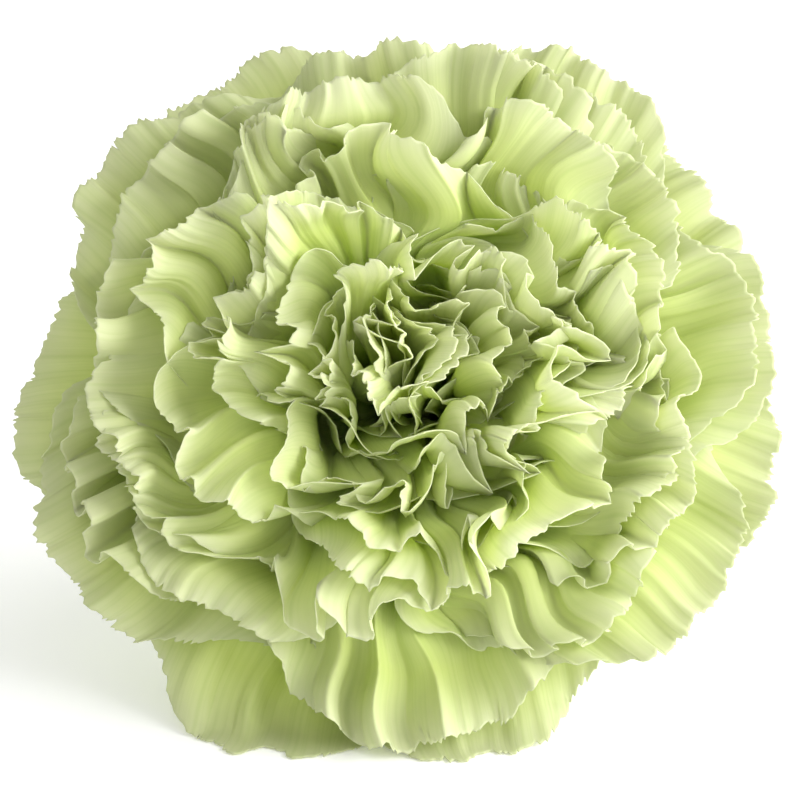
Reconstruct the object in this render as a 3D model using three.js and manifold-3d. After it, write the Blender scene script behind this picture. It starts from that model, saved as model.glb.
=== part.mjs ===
// A cut carnation lying on a table: a double bloom of ruffled petals, the calyx tube that holds their claws,
// the epicalyx bracts round the calyx's foot, and a short leafy stem.
// Millimetres, +Z up. It rests on the lowest petals of its bloom and on its stem, and faces -Y and up.
import * as THREE from 'three';
import { mergeVertices } from 'three/addons/utils/BufferGeometryUtils.js';
import Module from 'manifold-3d';

const wasm = await Module();
wasm.setup();

// ---- Driving dimensions ----
const HEAD_TILT = 37; // degrees that the bloom's axis points above the table
const HEAD_PLACE = [0.7, -34.25, 22.9]; // the calyx mouth's centre, with the part's box centred on the origin
const FIT_GAP = 0.3; // clearance between pieces that touch

// The bloom. Each row of values runs from its outermost petal, through the middle of the bloom, to its heart.
const PETALS = 52;
const RIM_TURNS = [-6, 19, 42, 61, 95, 121, 149, 187, 213, 243, 283, 325]; // degrees, of the outermost ring
const [RIM_START, RIM_SKIP] = [9, 5]; // the ring's first petal, and how many places on the next one stands
const GOLDEN_ANGLE = 137.50776; // degrees from one inner petal to the next
const PETAL_SEED = 62;
const PETAL_THICKNESS = 0.7;
const GUARD_SHARE = 0.25; // share of the petals that are guard petals
const HEART_SHARE = 0.2; // share of the petals that stand in the heart
const GUARD_ROWS = [0.42, 0.72, 1]; // places along a guard petal, from the core to the margin
const INNER_ROWS = [0.6, 1]; // the same for the petals that stand out of the core's dome
const BLADE_COLUMNS = 8;
const HEART_COLUMNS = 5;
const BASE_RADIUS = [6, 3.6, 0.7]; // where the claw leaves the calyx mouth
const REACH = [38.8, 28.5, 3]; // from the bloom's axis out to the petal's margin
const RISE = [5, 19.5, 26.5]; // from the calyx mouth up to the petal's margin
const START_LEAN = [30, 12, 0]; // degrees from the bloom's axis, at the calyx mouth
const END_LEAN = [102, 58, 12]; // degrees from the bloom's axis, at the margin
const MARGIN_FLARE = [6, 10, 6]; // degrees that the last quarter of the petal leans out further
const HALF_WIDTH = [18.5, 14.5, 7.5];
const FAN_WIDTH = [0.12, 1]; // width at the calyx mouth and at the margin, as a share
const MARGIN_ROUNDING = [0.24, 0.34, 0.32]; // how far the margin's corners fall back, as a share
const WAVES = [3.2, 4.8, 2.6]; // full folds across the margin
const WAVE_DEPTH = [0.9, 2.6, 2.8];
const WAVE_SWING = [0.2, 0.5, 0.45]; // sideways swing that makes the folds steep
const SWING_LIMIT = 0.32; // the widest swing, as a share of the distance between folds
const FOLD_DRIFT = [0.2, 0.07]; // how far the folds stray along the margin, slowly and quickly
const [FOLD_SIZE, FOLD_VARIETY] = [0.7, 0.3]; // share of the folds' depth that is even, and that varies
const FOLD_GROWTH = 2.2; // power by which the folds grow towards the margin
const SHARPNESS = [1.6, 0.7, 0.7]; // power of the folds' crests: 2 is a round crest, under 1 is a cusp
const OUTWARD_SHARE = 0.7; // share of the petals whose sharp crests point outwards
const FLATNESS = [0, 8, 5]; // added to the radius that the petal bends round the bloom's axis with
const MIDRIB_HANDLES = [0.3, 0.4]; // handles of the middle line's curve, as shares of its length
const TIGHTEST_BEND = 3; // smallest radius that a petal bends round
const HEART_SEAM = 0.8; // how strongly the heart's petals turn to face each other across a seam

// How far a petal's own values lie at random from its row's values: degrees, or a share of the value.
const SPREAD = {
  turn: 10,
  rimTurn: 3,
  growth: 0.045,
  width: 0.12,
  lean: 11,
  waves: 0.2,
  depth: 0.4,
  swing: 0.7,
  sharpness: 0.25,
  skew: 1.4,
  twist: 10,
  sideLean: 8,
};

// The crowding of the petals: one smooth field of gentle swirls that bends all of them together.
const SWIRLS = 18;
const SWIRL_SIZE = [7, 16]; // shortest and longest wave length
const SWIRL_DEPTH = 1.9;
const SWIRL_STEPS = 5;
const SWIRL_SEED = 7;
const GUARD_CALM = 0.75; // share by which the swirls fade in the outer petals
const FLOOR_BEND = 2.2; // radius of the bend where a petal meets the table

// The calyx: a tube with five pointed teeth. Radius and height from its foot up.
const CALYX_PROFILE = [
  [4.9, -27],
  [6.3, -21],
  [7.4, -6],
  [8.2, 0.8],
];
const CALYX_WALL = 0.8;
const CALYX_TEETH = 5;
const TOOTH_DEPTH = 6.2;
const RING_SIDES = 20; // sides of the calyx, the epicalyx and the core
const NOTCH_BELLY = 0.22; // how far the notches between teeth bulge, as a share of their half width
const [NOTCH_OVERLAP, NOTCH_RISE] = [0.4, 0.6]; // how far they meet sideways, and how far they run out above

// The claws of the petals, packed in the calyx, and the dome that they make where they spread above it.
const CORE_FOOT = -26.4;
const CORE_DOME = [
  [9.5, 3.5],
  [13.5, 6],
  [19, 7.6],
  [24, 9.6],
  [22.5, 13.2],
  [16.5, 17],
  [9, 19],
  [0, 19.6],
];

// The epicalyx: two pairs of pointed bracts on one short collar, round the calyx's foot and the receptacle.
const BRACTS = 4;
const BRACT_WALL = 0.7;
const BRACT_TIP = -14.8;
const COLLAR_TOP = -25.4;
const COLLAR_FOOT = [4.95, -30.6];

// The stem.
const STEM_RADIUS = 2.4;
const STEM_SIDES = 12;
const STEM_RINGS = [0, 0.02, 0.04, 0.07, 0.1, 0.15, 0.2, 0.25, 0.3, 0.38, 0.46, 0.54]; // down to the node
const NODE_RINGS = [-0.03, -0.015, 0, 0.015, 0.03]; // places about the node's
const END_RINGS = [0.72, 0.82, 0.91, 1]; // places beyond it
const RECEPTACLE_RADIUS = 4.7;
const RECEPTACLE_TOP = CALYX_PROFILE[0][1] - FIT_GAP;
const RECEPTACLE_FLARE = 9; // length over which the stem widens to the receptacle
const NODE_AT = 0.62; // place of the swollen node along the stem
const NODE_RADIUS = 3.3;
const NODE_LENGTH = 3.6;
const STEM_REACH = 101; // from the calyx mouth to the cut end, along the table
const STEM_FLAT = 0.05; // depth of the flat that it rests on
const STEM_SWAY = 3; // how far it bows sideways where it lies
const CUT_SLANT = 1.8;
const LEAF_LENGTH = 34;
const LEAF_HALF_WIDTH = 2.1;
const LEAF_THICKNESS = 0.8;
const LEAF_TURN = [16, 75]; // degrees from the stem, at the root and at the tip
const LEAF_RISE = [24, -14]; // degrees above the table
const LEAF_ROOT = [1.2, 1.5, 0.6]; // from the node's centre: sideways, back and up
const LEAF_TIP = 0.35; // half width that is left at the tip
const LEAF_CHANNEL = 0.45; // depth of its channel, as a share of its half width
const LEAF_STEPS = 8;

// ---- Small helpers ----
function makeRandom(seed) {
  let state = seed >>> 0;
  return () => {
    state = (Math.imul(state, 1664525) + 1013904223) >>> 0;
    return state / 4294967296;
  };
}

const radians = THREE.MathUtils.degToRad;
const smoothstep = THREE.MathUtils.smoothstep;

// A smooth curve through a row's three values, at t from 0 (outermost) to 1 (innermost).
function along(row, t) {
  const [outer, middle, inner] = row;
  return outer * (1 - t) * (1 - 2 * t) + middle * 4 * t * (1 - t) + inner * t * (2 * t - 1);
}

function toManifold(geometry) {
  const bare = new THREE.BufferGeometry();
  const flat = geometry.index ? geometry.toNonIndexed() : geometry;
  bare.setAttribute('position', flat.getAttribute('position'));
  const merged = mergeVertices(bare, 1e-4);
  return new wasm.Manifold(
    new wasm.Mesh({
      numProp: 3,
      vertProperties: new Float32Array(merged.attributes.position.array),
      triVerts: new Uint32Array(merged.index.array),
    }),
  );
}

function toGeometry(solid) {
  const mesh = solid.getMesh();
  const geometry = new THREE.BufferGeometry();
  geometry.setAttribute('position', new THREE.BufferAttribute(new Float32Array(mesh.vertProperties), 3));
  geometry.setIndex(new THREE.BufferAttribute(new Uint32Array(mesh.triVerts), 1));
  geometry.computeVertexNormals();
  return geometry;
}

// A thin closed blade from a grid of points: rows from the root to the margin, each with the same columns.
// Both faces are split into triangles alike.
function bladeGeometry(rows, thickness) {
  const nv = rows.length;
  const nu = rows[0].length;
  const normals = rows.map((row, j) =>
    row.map((_, i) => {
      const across = new THREE.Vector3().subVectors(row[Math.min(i + 1, nu - 1)], row[Math.max(i - 1, 0)]);
      const [above, below] = [rows[Math.min(j + 1, nv - 1)][i], rows[Math.max(j - 1, 0)][i]];
      const up = new THREE.Vector3().subVectors(above, below);
      return across.cross(up).normalize();
    }),
  );
  const position = [];
  for (const side of [1, -1]) {
    rows.forEach((row, j) =>
      row.forEach((p, i) => {
        const q = p.clone().addScaledVector(normals[j][i], (side * thickness) / 2);
        position.push(q.x, q.y, q.z);
      }),
    );
  }
  const index = [];
  const back = nu * nv;
  const at = (j, i) => j * nu + i;
  for (let j = 0; j < nv - 1; j++) {
    for (let i = 0; i < nu - 1; i++) {
      const [a, b, c, d] = [at(j, i), at(j, i + 1), at(j + 1, i + 1), at(j + 1, i)];
      if ((i + j) % 2) {
        index.push(a, b, c, a, c, d);
        index.push(back + a, back + c, back + b, back + a, back + d, back + c);
      } else {
        index.push(a, b, d, b, c, d);
        index.push(back + a, back + d, back + b, back + b, back + d, back + c);
      }
    }
  }
  const rim = [];
  for (let i = 0; i < nu - 1; i++) rim.push([at(0, i), at(0, i + 1)]);
  for (let j = 0; j < nv - 1; j++) rim.push([at(j, nu - 1), at(j + 1, nu - 1)]);
  for (let i = nu - 1; i > 0; i--) rim.push([at(nv - 1, i), at(nv - 1, i - 1)]);
  for (let j = nv - 1; j > 0; j--) rim.push([at(j, 0), at(j - 1, 0)]);
  for (const [a, b] of rim) index.push(b, a, back + a, b, back + a, back + b);
  const geometry = new THREE.BufferGeometry();
  geometry.setAttribute('position', new THREE.Float32BufferAttribute(position, 3));
  geometry.setIndex(index);
  return geometry;
}

// ---- The head's frame: its origin is the centre of the calyx mouth, its Z is the bloom's axis ----
const headMatrix = new THREE.Matrix4()
  .makeTranslation(...HEAD_PLACE)
  .multiply(new THREE.Matrix4().makeRotationX(radians(90 - HEAD_TILT)));

// ---- The bloom ----

// The angle of petal k of the two rings at the rim. The second ring's petals stand between the first's.
function rimAngle(k) {
  const lobes = RIM_TURNS.length;
  const lobe = (RIM_START + RIM_SKIP * k) % lobes;
  const after = RIM_TURNS[lobe + 1] ?? RIM_TURNS[0] + 360;
  return k < lobes ? RIM_TURNS[lobe] : (RIM_TURNS[lobe] + after) / 2;
}

// What makes one petal differ from the next: its place in the spiral and its seeded draws.
function petalPlan() {
  const random = makeRandom(PETAL_SEED);
  const spread = (amount) => (random() * 2 - 1) * amount;
  return Array.from({ length: PETALS }, (_, k) => {
    const t = (k + 0.5) / PETALS;
    const inRim = k < 2 * RIM_TURNS.length;
    const angle = inRim ? rimAngle(k) : k * GOLDEN_ANGLE;
    const turn = radians(angle + spread(inRim ? SPREAD.rimTurn : SPREAD.turn));
    const grow = 1 + spread(SPREAD.growth);
    return {
      t,
      azimuth: turn - (HEART_SEAM * smoothstep(t, 0.55, 0.9) * Math.sin(2 * turn)) / 2,
      base: along(BASE_RADIUS, t),
      reach: along(REACH, t) * grow,
      rise: along(RISE, t) * grow,
      halfWidth: along(HALF_WIDTH, t) * (1 + spread(SPREAD.width)),
      startLean: radians(along(START_LEAN, t)),
      endLean: radians(along(END_LEAN, t) + spread(SPREAD.lean)),
      flare: radians(along(MARGIN_FLARE, t)),
      rounding: along(MARGIN_ROUNDING, t),
      waves: along(WAVES, t) * (1 + spread(SPREAD.waves)),
      waveDepth: along(WAVE_DEPTH, t) * (1 + spread(SPREAD.depth)),
      phase: random() * 2 * Math.PI,
      swing: along(WAVE_SWING, t) * (1 + spread(SPREAD.swing)),
      drift: random() * 2 * Math.PI,
      sharpness: along(SHARPNESS, t) * (1 + spread(SPREAD.sharpness)),
      side: random() < OUTWARD_SHARE ? -1 : 1,
      skew: spread(SPREAD.skew),
      twist: radians(spread(SPREAD.twist)),
      sideLean: radians(spread(SPREAD.sideLean)),
      flatness: along(FLATNESS, t),
    };
  });
}

// The petal's middle line in its own plane, at v from 0 at the calyx mouth to 1 at the margin: its distance
// from the bloom's axis, its height and its lean. It is one cubic curve.
function midrib(petal, v) {
  const length = Math.hypot(petal.reach - petal.base, petal.rise);
  const [first, last] = MIDRIB_HANDLES.map((share) => share * length);
  const outs = [
    petal.base,
    petal.base + first * Math.sin(petal.startLean),
    petal.reach - last * Math.sin(petal.endLean),
    petal.reach,
  ];
  const ups = [0, first * Math.cos(petal.startLean), petal.rise - last * Math.cos(petal.endLean), petal.rise];
  const w = 1 - v;
  const place = (p) => w ** 3 * p[0] + 3 * w * w * v * p[1] + 3 * w * v * v * p[2] + v ** 3 * p[3];
  const slope = (p) => w * w * (p[1] - p[0]) + 2 * w * v * (p[2] - p[1]) + v * v * (p[3] - p[2]);
  return [place(outs), place(ups), Math.atan2(slope(outs), slope(ups))];
}

// A point of the petal's middle surface: u from -1 to 1 across it, v from the calyx mouth to the margin.
function petalPoint(petal, u, v) {
  const { phase, drift, waves, halfWidth } = petal;
  const [slow, quick] = FOLD_DRIFT;
  const uneven = u + slow * Math.sin(2.3 * u + drift) + quick * Math.sin(5.3 * u + phase);
  const fold = Math.PI * waves * uneven + phase + petal.skew * (v - 1);
  const size = FOLD_SIZE + FOLD_VARIETY * Math.sin(2.1 * u + drift + phase);
  const grown = v ** FOLD_GROWTH * size;
  const fan = THREE.MathUtils.lerp(...FAN_WIDTH, Math.sin((Math.PI / 2) * v ** 1.2));
  const swing = (petal.swing * SWING_LIMIT * halfWidth * Math.sin(2 * fold)) / waves;
  const crest = 1 - 2 * Math.abs(Math.sin(fold / 2)) ** petal.sharpness;
  const side = u * halfWidth * fan + grown * swing;
  const lift = petal.side * grown * petal.waveDepth * crest;
  const [out, up, slope] = midrib(petal, v * (1 - petal.rounding * Math.abs(u) ** 2.6 * v * v));
  const lean = slope + petal.flare * smoothstep(v, 0.75, 1);
  // The blade turns about its middle line, and bends round the bloom's axis.
  const across = side * Math.cos(petal.twist) - lift * Math.sin(petal.twist);
  const inward = side * Math.sin(petal.twist) * v + lift * Math.cos(petal.twist);
  const bend = out - Math.cos(lean) * inward + petal.flatness;
  const turn = across / Math.max(bend, TIGHTEST_BEND) + petal.sideLean * v;
  const point = new THREE.Vector3(bend * Math.cos(turn) - petal.flatness, bend * Math.sin(turn), 0);
  point.applyAxisAngle(point.clone().set(0, 0, 1), petal.azimuth);
  return point.setZ(up + Math.sin(lean) * inward);
}

// The swirls: waves that each push the petals sideways to their own direction.
function makeSwirls() {
  const random = makeRandom(SWIRL_SEED);
  const spread = (amount) => (random() * 2 - 1) * amount;
  const [short, long] = SWIRL_SIZE;
  return Array.from({ length: SWIRLS }, () => {
    const z = spread(1);
    const turn = random() * 2 * Math.PI;
    const flat = Math.sqrt(1 - z * z);
    const heading = new THREE.Vector3(flat * Math.cos(turn), flat * Math.sin(turn), 0.6 * z).normalize();
    const length = short * (long / short) ** random();
    const push = new THREE.Vector3(spread(1), spread(1), spread(1));
    push.addScaledVector(heading, -push.dot(heading)).setLength(length / 12);
    return { wave: heading.multiplyScalar((2 * Math.PI) / length), push, start: random() * 2 * Math.PI };
  });
}

const swirls = makeSwirls();

// Carries a point of the bloom along the swirls in small steps, so that no petal is pushed through another.
function stir(point) {
  const depth = SWIRL_DEPTH * Math.sqrt(2 / SWIRLS);
  for (let step = 0; step < SWIRL_STEPS; step++) {
    const radius = Math.hypot(point.x, point.y);
    const reach = Math.hypot(radius, Math.max(point.z, 0));
    const free = smoothstep(reach, 5, 16) * smoothstep(point.z + 0.35 * radius, 3, 10);
    const share = (depth * free * (1 - GUARD_CALM * smoothstep(radius, 22, 34))) / SWIRL_STEPS;
    const shift = new THREE.Vector3();
    for (const { wave, push, start } of swirls) {
      shift.addScaledVector(push, Math.sin(point.dot(wave) + start));
    }
    point.addScaledVector(shift, share);
  }
  return point;
}

// Where a petal comes down to the table it bends forward and lies along it.
function restOnTable(point) {
  const low = FLOOR_BEND - point.z;
  if (low <= 0) return point;
  const angle = Math.min(low / FLOOR_BEND, Math.PI / 2);
  const beyond = Math.max(low - (FLOOR_BEND * Math.PI) / 2, 0);
  point.y -= FLOOR_BEND * (1 - Math.cos(angle)) + beyond;
  point.z = FLOOR_BEND * (1 - Math.sin(angle));
  return point;
}

function petalSolid(petal) {
  const columns = petal.t < 1 - HEART_SHARE ? BLADE_COLUMNS : HEART_COLUMNS;
  const rows = petal.t < GUARD_SHARE ? GUARD_ROWS : INNER_ROWS;
  const grid = rows.map((v) =>
    Array.from({ length: columns }, (_, i) => {
      const u = (2 * i) / (columns - 1) - 1;
      return restOnTable(stir(petalPoint(petal, u, v)).applyMatrix4(headMatrix));
    }),
  );
  return toManifold(bladeGeometry(grid, PETAL_THICKNESS));
}

// The core: it fills the calyx up to a small gap, and spreads above it.
function coreSolid() {
  const clearance = CALYX_WALL + FIT_GAP;
  const inCalyx = CALYX_PROFILE.map(([r, z]) => [r - clearance, Math.max(z, CORE_FOOT)]);
  const profile = [[0, CORE_FOOT], ...inCalyx, ...CORE_DOME].map(([r, z]) => new THREE.Vector2(r, z));
  const lathe = new THREE.LatheGeometry(profile, RING_SIDES);
  return toManifold(lathe.rotateX(Math.PI / 2).applyMatrix4(headMatrix));
}

// The outer body of a joined solid: its sealed hollows are filled and its loose scraps are dropped.
function outerBody(joined) {
  return joined.decompose().reduce((best, body) => (body.volume() > best.volume() ? body : best));
}

function bloomSolid() {
  const joined = wasm.Manifold.union([coreSolid(), ...petalPlan().map(petalSolid)]);
  return outerBody(joined.trimByPlane([0, 0, 1], 0));
}

// ---- The calyx and the epicalyx ----

// A ring turned round the bloom's axis: its outer profile from the foot up, and a wall of one thickness.
function ringSolid(profile, wall) {
  const outer = profile.map(([r, z]) => new THREE.Vector2(r, z));
  const inner = profile.map(([r, z]) => new THREE.Vector2(r - wall, z)).reverse();
  const lathe = new THREE.LatheGeometry([...outer, ...inner, outer[0].clone()], RING_SIDES);
  return toManifold(lathe.rotateX(Math.PI / 2));
}

// The calyx's outer radius at a height, from its profile.
function calyxRadius(z) {
  const above = Math.max(CALYX_PROFILE.findIndex(([, height]) => height > z), 1);
  const [[r0, z0], [r1, z1]] = CALYX_PROFILE.slice(above - 1, above + 1);
  return THREE.MathUtils.lerp(r0, r1, (z - z0) / (z1 - z0));
}

// Cuts pointed notches into a ring's upper edge, so that what stays between them is a row of pointed teeth.
function cutNotches(ring, count, top, bottom) {
  const radius = calyxRadius(Math.min(top, 0)) + BRACT_WALL;
  const half = radius * Math.sin(Math.PI / count) + NOTCH_OVERLAP;
  const belly = half * NOTCH_BELLY;
  const shape = new THREE.Shape();
  shape.moveTo(0, bottom);
  shape.quadraticCurveTo(belly, (top + bottom) / 2, half, top + NOTCH_RISE);
  shape.lineTo(-half, top + NOTCH_RISE);
  shape.quadraticCurveTo(-belly, (top + bottom) / 2, 0, bottom);
  const extrusion = { depth: radius * 1.6, bevelEnabled: false, curveSegments: 4 };
  const wedge = new THREE.ExtrudeGeometry(shape, extrusion);
  wedge.rotateX(Math.PI / 2).rotateZ(Math.PI);
  const cutters = Array.from({ length: count }, (_, k) =>
    toManifold(wedge.clone().rotateZ(((2 * k + 1) * Math.PI) / count)),
  );
  return ring.subtract(wasm.Manifold.union(cutters));
}

function calyxSolid() {
  const top = CALYX_PROFILE.at(-1)[1];
  return cutNotches(ringSolid(CALYX_PROFILE, CALYX_WALL), CALYX_TEETH, top, top - TOOTH_DEPTH);
}

function epicalyxSolid() {
  const heights = [CALYX_PROFILE[0][1], CALYX_PROFILE[1][1], BRACT_TIP];
  const profile = heights.map((z) => [calyxRadius(z) + FIT_GAP + BRACT_WALL, z]);
  return cutNotches(ringSolid([COLLAR_FOOT, ...profile], BRACT_WALL), BRACTS, BRACT_TIP, COLLAR_TOP);
}

// ---- The leafy stem ----

// The stem's middle line: from the foot of the calyx it curves down to the table, then lies along it.
class StemLine extends THREE.Curve {
  constructor() {
    super();
    this.lean = radians(HEAD_TILT);
    this.start = new THREE.Vector3(0, 0, RECEPTACLE_TOP).applyMatrix4(headMatrix);
    this.height = STEM_RADIUS - STEM_FLAT;
    this.bend = (this.start.z - this.height) / (1 - Math.cos(this.lean));
    this.bendLength = this.bend * this.lean;
    this.landing = this.start.y + this.bend * Math.sin(this.lean);
    this.end = HEAD_PLACE[1] + STEM_REACH;
    this.total = this.bendLength + this.end - this.landing;
  }

  getPoint(t, target = new THREE.Vector3()) {
    const s = t * this.total;
    if (s < this.bendLength) {
      const slope = this.lean * (1 - s / this.bendLength);
      const y = this.landing - this.bend * Math.sin(slope);
      return target.set(this.start.x, y, this.height + this.bend * (1 - Math.cos(slope)));
    }
    const run = (s - this.bendLength) / (this.total - this.bendLength);
    const sway = STEM_SWAY * Math.sin(Math.PI * run) ** 2;
    return target.set(this.start.x + sway, this.landing + run * (this.end - this.landing), this.height);
  }

  // It widens to the receptacle at its top and to the swollen node lower down.
  radius(t) {
    const top = Math.max(1 - (t * this.total) / RECEPTACLE_FLARE, 0) ** 1.5;
    const node = Math.exp(-(((2 * (t - NODE_AT) * this.total) / NODE_LENGTH) ** 2));
    return STEM_RADIUS + top * (RECEPTACLE_RADIUS - STEM_RADIUS) + node * (NODE_RADIUS - STEM_RADIUS);
  }
}

// A closed tube of changing radius along a curve, with a flat side underneath and a slanting cut at its end.
function stemTube(line) {
  const stops = [...STEM_RINGS, ...NODE_RINGS.map((step) => NODE_AT + step), ...END_RINGS];
  const facet = Math.PI / STEM_SIDES;
  const position = [];
  const index = [];
  const up = new THREE.Vector3(0, 0, 1);
  stops.forEach((t, j) => {
    const centre = line.getPoint(t);
    const ahead = line.getPoint(Math.min(t + 1e-3, 1)).sub(line.getPoint(Math.max(t - 1e-3, 0))).normalize();
    const sideways = new THREE.Vector3().crossVectors(up, ahead).normalize();
    const upright = new THREE.Vector3().crossVectors(ahead, sideways);
    const radius = line.radius(t) / Math.cos(facet);
    for (let i = 0; i < STEM_SIDES; i++) {
      const turn = (2 * i + 1) * facet;
      const slant = t === 1 ? Math.cos(turn) * CUT_SLANT : 0;
      const p = centre.clone().addScaledVector(sideways, radius * Math.sin(turn));
      p.addScaledVector(upright, radius * Math.cos(turn)).addScaledVector(ahead, slant);
      position.push(p.x, p.y, p.z);
    }
    if (j) {
      for (let i = 0; i < STEM_SIDES; i++) {
        const [a, b] = [(j - 1) * STEM_SIDES + i, (j - 1) * STEM_SIDES + ((i + 1) % STEM_SIDES)];
        index.push(a, a + STEM_SIDES, b, b, a + STEM_SIDES, b + STEM_SIDES);
      }
    }
  });
  const last = (stops.length - 1) * STEM_SIDES;
  for (let i = 1; i < STEM_SIDES - 1; i++) {
    index.push(0, i, i + 1);
    index.push(last, last + i + 1, last + i);
  }
  const geometry = new THREE.BufferGeometry();
  geometry.setAttribute('position', new THREE.Float32BufferAttribute(position, 3));
  geometry.setIndex(index);
  return toManifold(geometry).trimByPlane([0, 0, 1], 0);
}

// One narrow channelled leaf: it leaves the node towards the bloom and curls outwards. side is 1 or -1.
function leafSolid(line, side) {
  const root = line.getPoint(NODE_AT);
  const [beside, behind, above] = LEAF_ROOT;
  const rows = [];
  const centre = root.clone().add(new THREE.Vector3(side * beside, behind, above));
  for (let j = 0; j <= LEAF_STEPS; j++) {
    const v = j / LEAF_STEPS;
    const halfway = Math.max(j - 0.5, 0) / LEAF_STEPS;
    const turn = radians(LEAF_TURN[0] + (LEAF_TURN[1] - LEAF_TURN[0]) * halfway ** 2);
    const rise = radians(LEAF_RISE[0] + (LEAF_RISE[1] - LEAF_RISE[0]) * halfway);
    const ahead = new THREE.Vector3(side * Math.sin(turn), -Math.cos(turn), Math.tan(rise)).normalize();
    if (j) centre.addScaledVector(ahead, LEAF_LENGTH / LEAF_STEPS);
    const width = LEAF_HALF_WIDTH * (1 - v ** 2.2) + LEAF_TIP;
    const across = new THREE.Vector3(Math.cos(turn), side * Math.sin(turn), 0);
    const channel = new THREE.Vector3().crossVectors(across, ahead).normalize();
    rows.push(
      [-1, 0, 1].map((u) =>
        centre
          .clone()
          .addScaledVector(across, u * width)
          .addScaledVector(channel, Math.abs(u) * width * LEAF_CHANNEL),
      ),
    );
  }
  return toManifold(bladeGeometry(rows, LEAF_THICKNESS));
}

function leafyStemSolid() {
  const line = new StemLine();
  return wasm.Manifold.union([stemTube(line), leafSolid(line, 1), leafSolid(line, -1)]);
}

// ---- The part ----

function piece(name, solid, color, roughness) {
  const material = new THREE.MeshStandardMaterial({ color, roughness, metalness: 0 });
  const mesh = new THREE.Mesh(toGeometry(solid), material);
  mesh.name = name;
  return mesh;
}

const head = new THREE.Group();
head.applyMatrix4(headMatrix);
head.add(piece('calyx', calyxSolid(), 0x8fa86a, 0.6));
head.add(piece('epicalyx', epicalyxSolid(), 0x7f9a63, 0.6));

const part = new THREE.Group();
part.add(head);
part.add(piece('bloom', bloomSolid(), 0xb7c77c, 0.75));
part.add(piece('leafy_stem', leafyStemSolid(), 0x8aa184, 0.55));

export default part;
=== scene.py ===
"""A cut carnation lying on a table: a double bloom of ruffled petals, the calyx tube that holds their
claws, the epicalyx bracts round the calyx's foot, and a short leafy stem.

Shapes are worked out in millimetres, in the construction model's frame, and turned into metres as each
mesh is made. The head's own frame has its origin at the centre of the calyx mouth, and its Z along the
bloom's axis.
"""

import math

import bpy
import numpy as np
from bpy.props import FloatProperty, FloatVectorProperty, IntProperty, PointerProperty
from mathutils import Matrix, Vector


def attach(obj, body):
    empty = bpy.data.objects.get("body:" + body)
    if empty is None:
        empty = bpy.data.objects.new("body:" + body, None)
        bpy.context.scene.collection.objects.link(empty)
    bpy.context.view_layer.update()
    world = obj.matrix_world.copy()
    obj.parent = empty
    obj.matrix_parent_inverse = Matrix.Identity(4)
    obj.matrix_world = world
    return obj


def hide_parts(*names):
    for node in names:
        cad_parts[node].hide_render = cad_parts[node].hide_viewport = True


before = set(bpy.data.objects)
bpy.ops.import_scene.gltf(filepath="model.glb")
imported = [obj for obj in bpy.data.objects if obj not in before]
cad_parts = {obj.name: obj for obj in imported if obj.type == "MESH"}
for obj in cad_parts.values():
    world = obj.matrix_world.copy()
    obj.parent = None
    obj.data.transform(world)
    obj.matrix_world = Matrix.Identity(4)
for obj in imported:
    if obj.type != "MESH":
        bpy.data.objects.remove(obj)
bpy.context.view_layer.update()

bl_info = {
    "name": "Cut Carnation",
    "version": (1, 0, 0),
    "blender": (4, 5, 0),
    "location": "3D View > Sidebar > Carnation",
    "description": "Dresses the construction model of a cut carnation",
    "category": "Add Mesh",
}

MM = 0.001
BODY = "root"

# ---- The bloom's plan: the same values as in the construction model ----
HEAD_TILT = 37  # degrees that the bloom's axis points above the table
HEAD_PLACE = (0.7, -34.25, 22.9)  # the calyx mouth's centre
RIM_TURNS = (-6, 19, 42, 61, 95, 121, 149, 187, 213, 243, 283, 325)  # degrees, of the rim's outer petals
RIM_START, RIM_SKIP = 9, 5  # the ring's first petal, and how many places on the next one stands
GOLDEN_ANGLE = 137.50776  # degrees from one inner petal to the next

# Each row of values runs from its outermost petal, through the middle of the bloom, to its heart.
BASE_RADIUS = (6, 3.6, 0.7)  # where the claw leaves the calyx mouth
REACH = (38.8, 28.5, 3)  # from the bloom's axis out to the petal's margin
RISE = (5, 19.5, 26.5)  # from the calyx mouth up to the petal's margin
START_LEAN = (30, 12, 0)  # degrees from the bloom's axis, at the calyx mouth
END_LEAN = (102, 58, 12)  # degrees from the bloom's axis, at the margin
MARGIN_FLARE = (6, 10, 6)  # degrees that the petal leans out further along its margin
FLARE_START = 0.75  # where the flare begins, from 0 at the calyx mouth to 1 at the margin
HALF_WIDTH = (18.5, 14.5, 7.5)
FAN_WIDTH = (0.12, 1)  # width at the calyx mouth and at the margin, as a share
FAN_GROWTH = 1.2  # power by which it widens between them
MARGIN_ROUNDING = (0.24, 0.34, 0.32)  # how far the margin's corners fall back, as a share
CORNER_POWER = 2.6  # power by which they fall back
WAVES = (3.2, 4.8, 2.6)  # full folds across the margin
WAVE_DEPTH = (0.9, 2.6, 2.8)
WAVE_SWING = (0.2, 0.5, 0.45)  # sideways swing that makes the folds steep
SWING_LIMIT = 0.32  # the widest swing, as a share of the distance between folds
FOLD_DRIFT = (0.2, 0.07)  # how far the folds stray along the margin, slowly and quickly
DRIFT_PACE = (2.3, 5.3)  # how fast the slow and the quick straying change across the petal
FOLD_SIZE, FOLD_VARIETY = 0.7, 0.3  # share of the folds' depth that is even, and that varies
VARIETY_PACE = 2.1  # how fast it varies across the petal
FOLD_GROWTH = 2.2  # power by which the folds grow towards the margin
SHARPNESS = (1.6, 0.7, 0.7)  # power of the folds' crests: 2 is a round crest, under 1 is a cusp
OUTWARD_SHARE = 0.7  # share of the petals whose sharp crests point outwards
FLATNESS = (0, 8, 5)  # added to the radius that the petal bends round the bloom's axis with
HEART_SEAM = 0.8  # how strongly the heart's petals turn to face each other across a seam
SEAM_SPAN = (0.55, 0.9)  # places in the bloom, from 0 to 1, between which this sets in
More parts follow.
